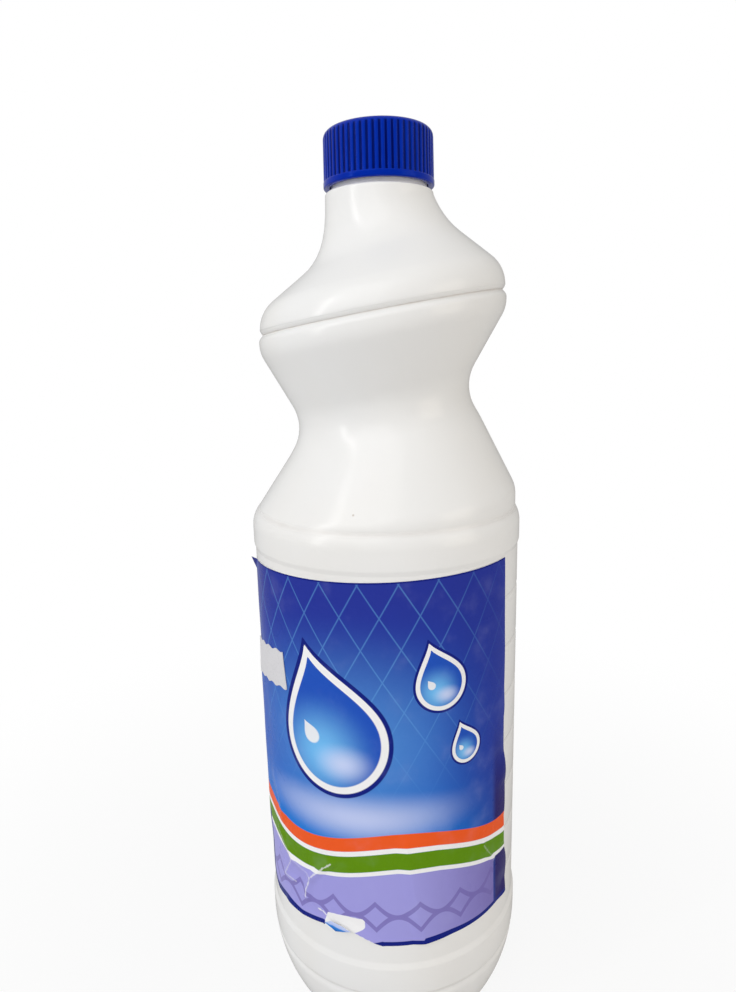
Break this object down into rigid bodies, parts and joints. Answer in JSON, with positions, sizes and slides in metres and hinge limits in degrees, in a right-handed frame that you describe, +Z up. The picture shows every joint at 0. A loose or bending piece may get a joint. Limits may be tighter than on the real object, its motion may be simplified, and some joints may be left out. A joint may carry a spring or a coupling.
{
  "type": "bleach bottle",
  "caption": "White blown household bleach bottle with a tilted waist and shoulder, a ribbed blue screw cap and a worn front label.",
  "frame": {"origin": "middle of the standing ring, on the surface that the bottle stands on", "axes": "+Z up along the bottle's axis; -Y towards the label's front; +X towards the high side of the tilted waist and shoulder"},
  "size_m": [0.0834, 0.0834, 0.2754],
  "materials": {
    "bottle_plastic": "white blown polyethylene, satin",
    "cap_plastic": "royal blue moulded polypropylene, satin gloss",
    "liner_foam": "white foamed polyethylene wad, matte",
    "label_film": "printed plastic film, worn, semi-gloss",
    "sticker_paper": "plain white coated paper, matte"
  },
  "bodies": {
    "bottle_body": {"bottle": "bottle_plastic", "front_label": "label_film", "price_sticker": "sticker_paper"},
    "liner_body": {"cap_liner": "liner_foam"},
    "cap_body": {"screw_cap": "cap_plastic"}
  },
  "joints": [
    {"name": "cap_rise", "type": "slide", "parent": "bottle_body", "child": "liner_body", "axis": [0, 0, 1], "range_m": [0, 0.00635]},
    {"name": "cap_turn", "type": "hinge", "parent": "liner_body", "child": "cap_body", "pos_m": [0, 0, 0.265], "axis": [0, 0, 1], "range_deg": [0, 540]}
  ],
  "couplings": [
    {"joint": "cap_rise", "follows": "cap_turn", "m_per_rad": 0.0006737}
  ]
}
